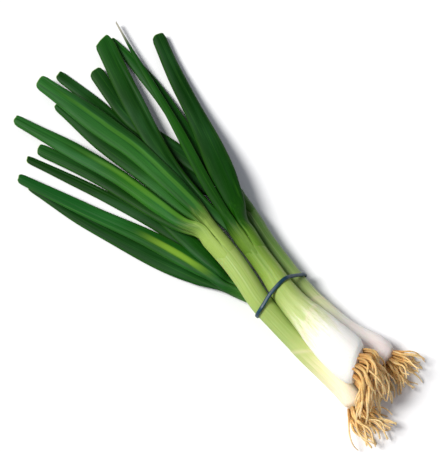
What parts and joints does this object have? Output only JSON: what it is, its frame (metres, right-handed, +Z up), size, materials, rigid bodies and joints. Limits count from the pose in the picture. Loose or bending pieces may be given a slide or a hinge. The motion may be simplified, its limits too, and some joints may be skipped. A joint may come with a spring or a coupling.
{
  "type": "spring onion bunch",
  "caption": "Bunch of spring onions with white bulbs, root tufts and cut green leaves, held together by a rubber band and lying flat.",
  "frame": {"origin": "middle of the bunch's bounding box, on the surface it lies on", "axes": "+X along the bunch towards the roots, leaf tips towards -X, +Y across the bunch, +Z up from the surface"},
  "size_m": [0.3094, 0.135, 0.0389],
  "materials": {
    "bulb_stem": "smooth, slightly waxy, white at the bulb and pale green towards the fork",
    "leaf": "satin, with fine lengthwise veins",
    "roots": "dry and fibrous",
    "band": "matt rubber"
  },
  "bodies": {
    "root": {"onion_a_bulb_stem": "bulb_stem", "onion_b_bulb_stem": "bulb_stem", "onion_c_bulb_stem": "bulb_stem", "onion_d_bulb_stem": "bulb_stem", "onion_a_leaf_1": "leaf", "onion_a_leaf_2": "leaf", "onion_a_leaf_3": "leaf", "onion_a_leaf_4": "leaf", "onion_b_leaf_1": "leaf", "onion_b_leaf_2": "leaf", "onion_b_leaf_3": "leaf", "onion_c_leaf_1": "leaf", "onion_c_leaf_2": "leaf", "onion_c_leaf_3": "leaf", "onion_c_leaf_4": "leaf", "onion_d_leaf_1": "leaf", "onion_d_leaf_2": "leaf", "onion_d_leaf_3": "leaf", "onion_d_leaf_4": "leaf", "onion_a_roots": "roots", "onion_b_roots": "roots", "onion_c_roots": "roots", "onion_d_roots": "roots", "rubber_band": "band"}
  },
  "joints": []
}
